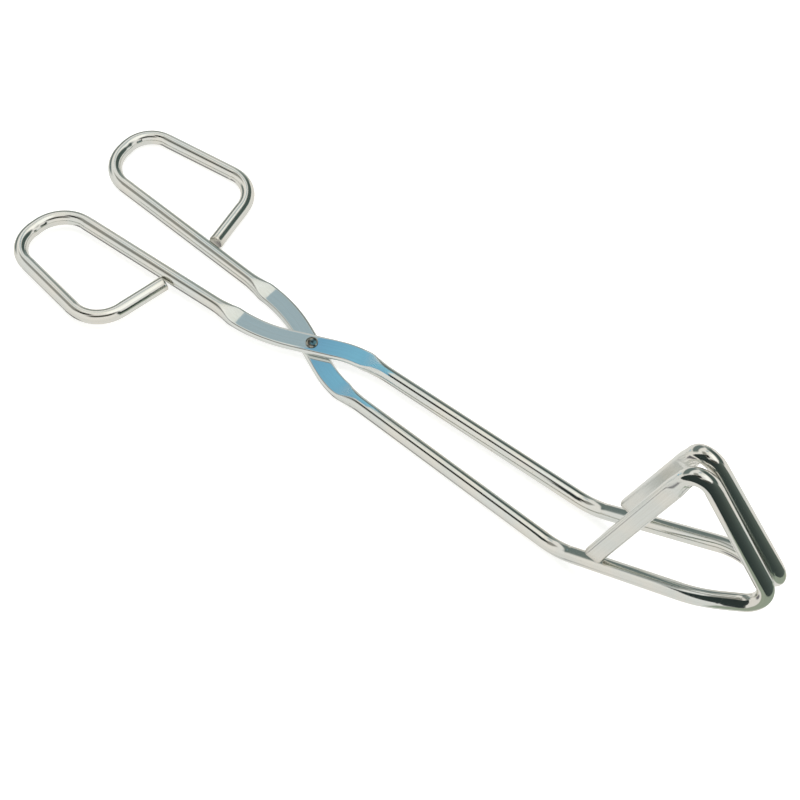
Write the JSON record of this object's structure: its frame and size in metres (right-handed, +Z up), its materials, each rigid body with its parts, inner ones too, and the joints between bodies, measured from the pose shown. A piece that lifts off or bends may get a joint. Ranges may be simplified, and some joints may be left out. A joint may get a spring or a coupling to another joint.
{
  "type": "crucible tongs",
  "caption": "Scissor-action tongs of bent plated wire with finger loops, a riveted pivot and upturned triangular jaws that grip a crucible or flask.",
  "frame": {"origin": "middle of the outline seen from above, on the surface the closed tongs lie on", "axes": "+X from the finger loops towards the jaws, +Y towards the lower arm's finger loop, +Z up, along the rivet and towards the jaws' apexes"},
  "size_m": [0.2982, 0.0892, 0.0837],
  "materials": {
    "plated_wire": "bright nickel plating on drawn steel wire, pressed flats slightly duller",
    "rivet_steel": "plated steel rivet, closed by hand hammering"
  },
  "bodies": {
    "lower": {"lower_arm": "plated_wire", "rivet": "rivet_steel"},
    "upper": {"upper_arm": "plated_wire"}
  },
  "joints": [
    {"name": "pivot", "type": "hinge", "parent": "lower", "child": "upper", "pos_m": [-0.02898, -0.00005, 0.0041], "axis": [0, 0, 1], "range_deg": [0, 60]}
  ]
}
